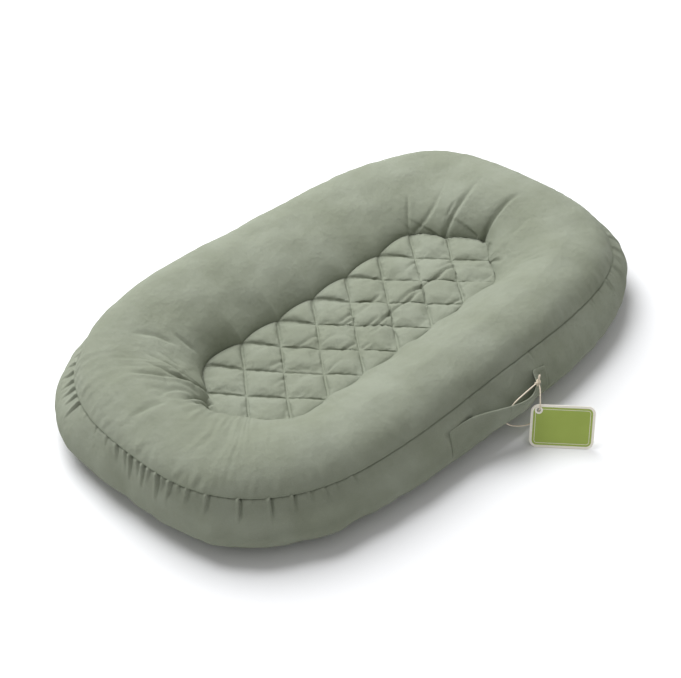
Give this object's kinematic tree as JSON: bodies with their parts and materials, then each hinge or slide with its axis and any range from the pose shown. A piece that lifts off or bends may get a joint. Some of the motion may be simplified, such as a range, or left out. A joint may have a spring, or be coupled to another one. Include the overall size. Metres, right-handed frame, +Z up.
{
  "type": "infant lounger",
  "caption": "Low oval infant lounger: a stuffed raised rim around a quilted well, with a sewn hand strap and a hang tag on a string.",
  "frame": {"origin": "on the surface it rests on, under the middle of the oval", "axes": "+X along the length, +Y across the width away from the hand strap, +Z up"},
  "size_m": [0.7496, 0.5496, 0.102],
  "materials": {
    "cover_cloth": "matt plain-woven cotton, sage green",
    "filling": "loose fibre stuffing and wadding",
    "thread": "sage green sewing thread",
    "tag_card": "smooth printed card, green field with a cream border",
    "tag_string": "cream twisted cotton string"
  },
  "bodies": {
    "root": {"top_cover": "cover_cloth", "side_band": "cover_cloth", "base_cloth": "cover_cloth", "upper_seam_thread": "thread", "lower_seam_thread": "thread", "rim_fill": "filling", "centre_pad": "filling", "quilting_thread": "thread", "handle_end_left": "cover_cloth", "handle_end_right": "cover_cloth", "end_stitch_left": "thread", "end_stitch_right": "thread"},
    "handle": {"handle_strap": "cover_cloth", "tag_string": "tag_string", "tag_knot": "tag_string"},
    "tag": {"tag_card": "tag_card"}
  },
  "joints": [
    {"name": "handle_lift", "type": "hinge", "parent": "root", "child": "handle", "pos_m": [0.001, -0.2309, 0.06], "axis": [-1, 0, 0], "range_deg": [0, 75]},
    {"name": "tag_swing", "type": "hinge", "parent": "handle", "child": "tag", "pos_m": [0.036, -0.256, 0.04129], "axis": [-0.6428, 0.766, 0], "range_deg": [0, 50]}
  ]
}
